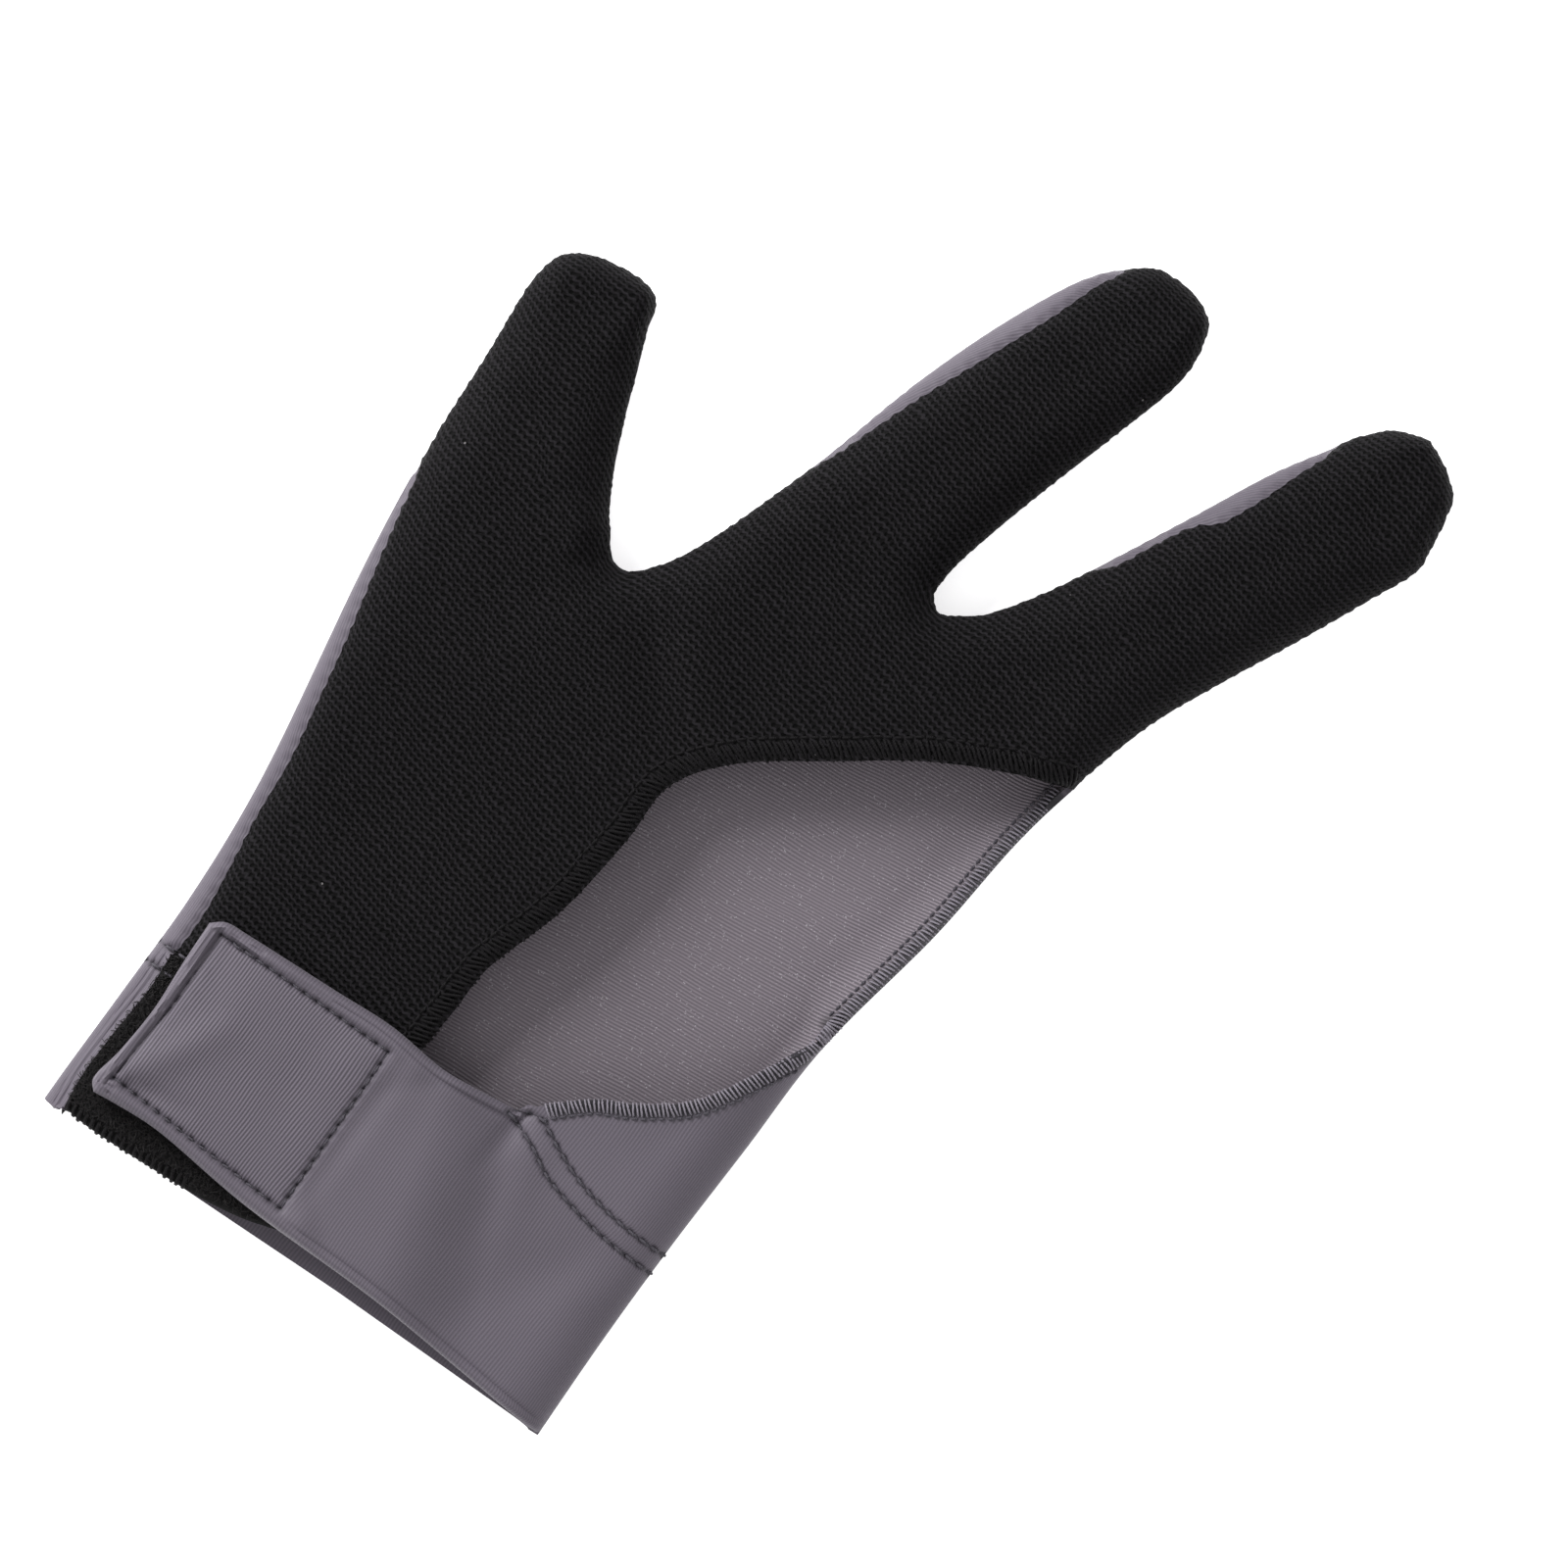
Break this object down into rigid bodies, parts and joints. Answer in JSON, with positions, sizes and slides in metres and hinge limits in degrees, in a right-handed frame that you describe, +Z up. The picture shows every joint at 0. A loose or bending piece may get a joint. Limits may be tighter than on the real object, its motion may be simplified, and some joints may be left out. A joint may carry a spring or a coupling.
{
  "type": "billiard glove",
  "caption": "Three-finger billiard glove lying palm up: stretch back, open knit palm, cut-out heel and a hook-and-loop wrist strap.",
  "frame": {"origin": "centre of the outline's bounding box, on the table under the glove", "axes": "+Y from the wrist to the fingertips, +X to the little-finger side, +Z up out of the palm side"},
  "size_m": [0.1344, 0.2277, 0.0126],
  "materials": {
    "stretch_cloth": "slate grey polyester and elastane jersey with fine ribs and a soft sheen",
    "open_knit": "black open warp knit with rows of small holes",
    "loop_pile": "black brushed nylon loop pile",
    "hook_tape": "black woven nylon hook tape",
    "black_overlock": "black polyester overlock thread",
    "grey_overlock": "dark grey polyester overlock thread"
  },
  "bodies": {
    "root": {"back_panel": "stretch_cloth", "palm_panel": "open_knit", "wrist_strap": "stretch_cloth", "loop_patch": "loop_pile", "hook_tape": "hook_tape", "palm_edge_bead": "black_overlock", "back_edge_bead": "grey_overlock"}
  },
  "joints": []
}
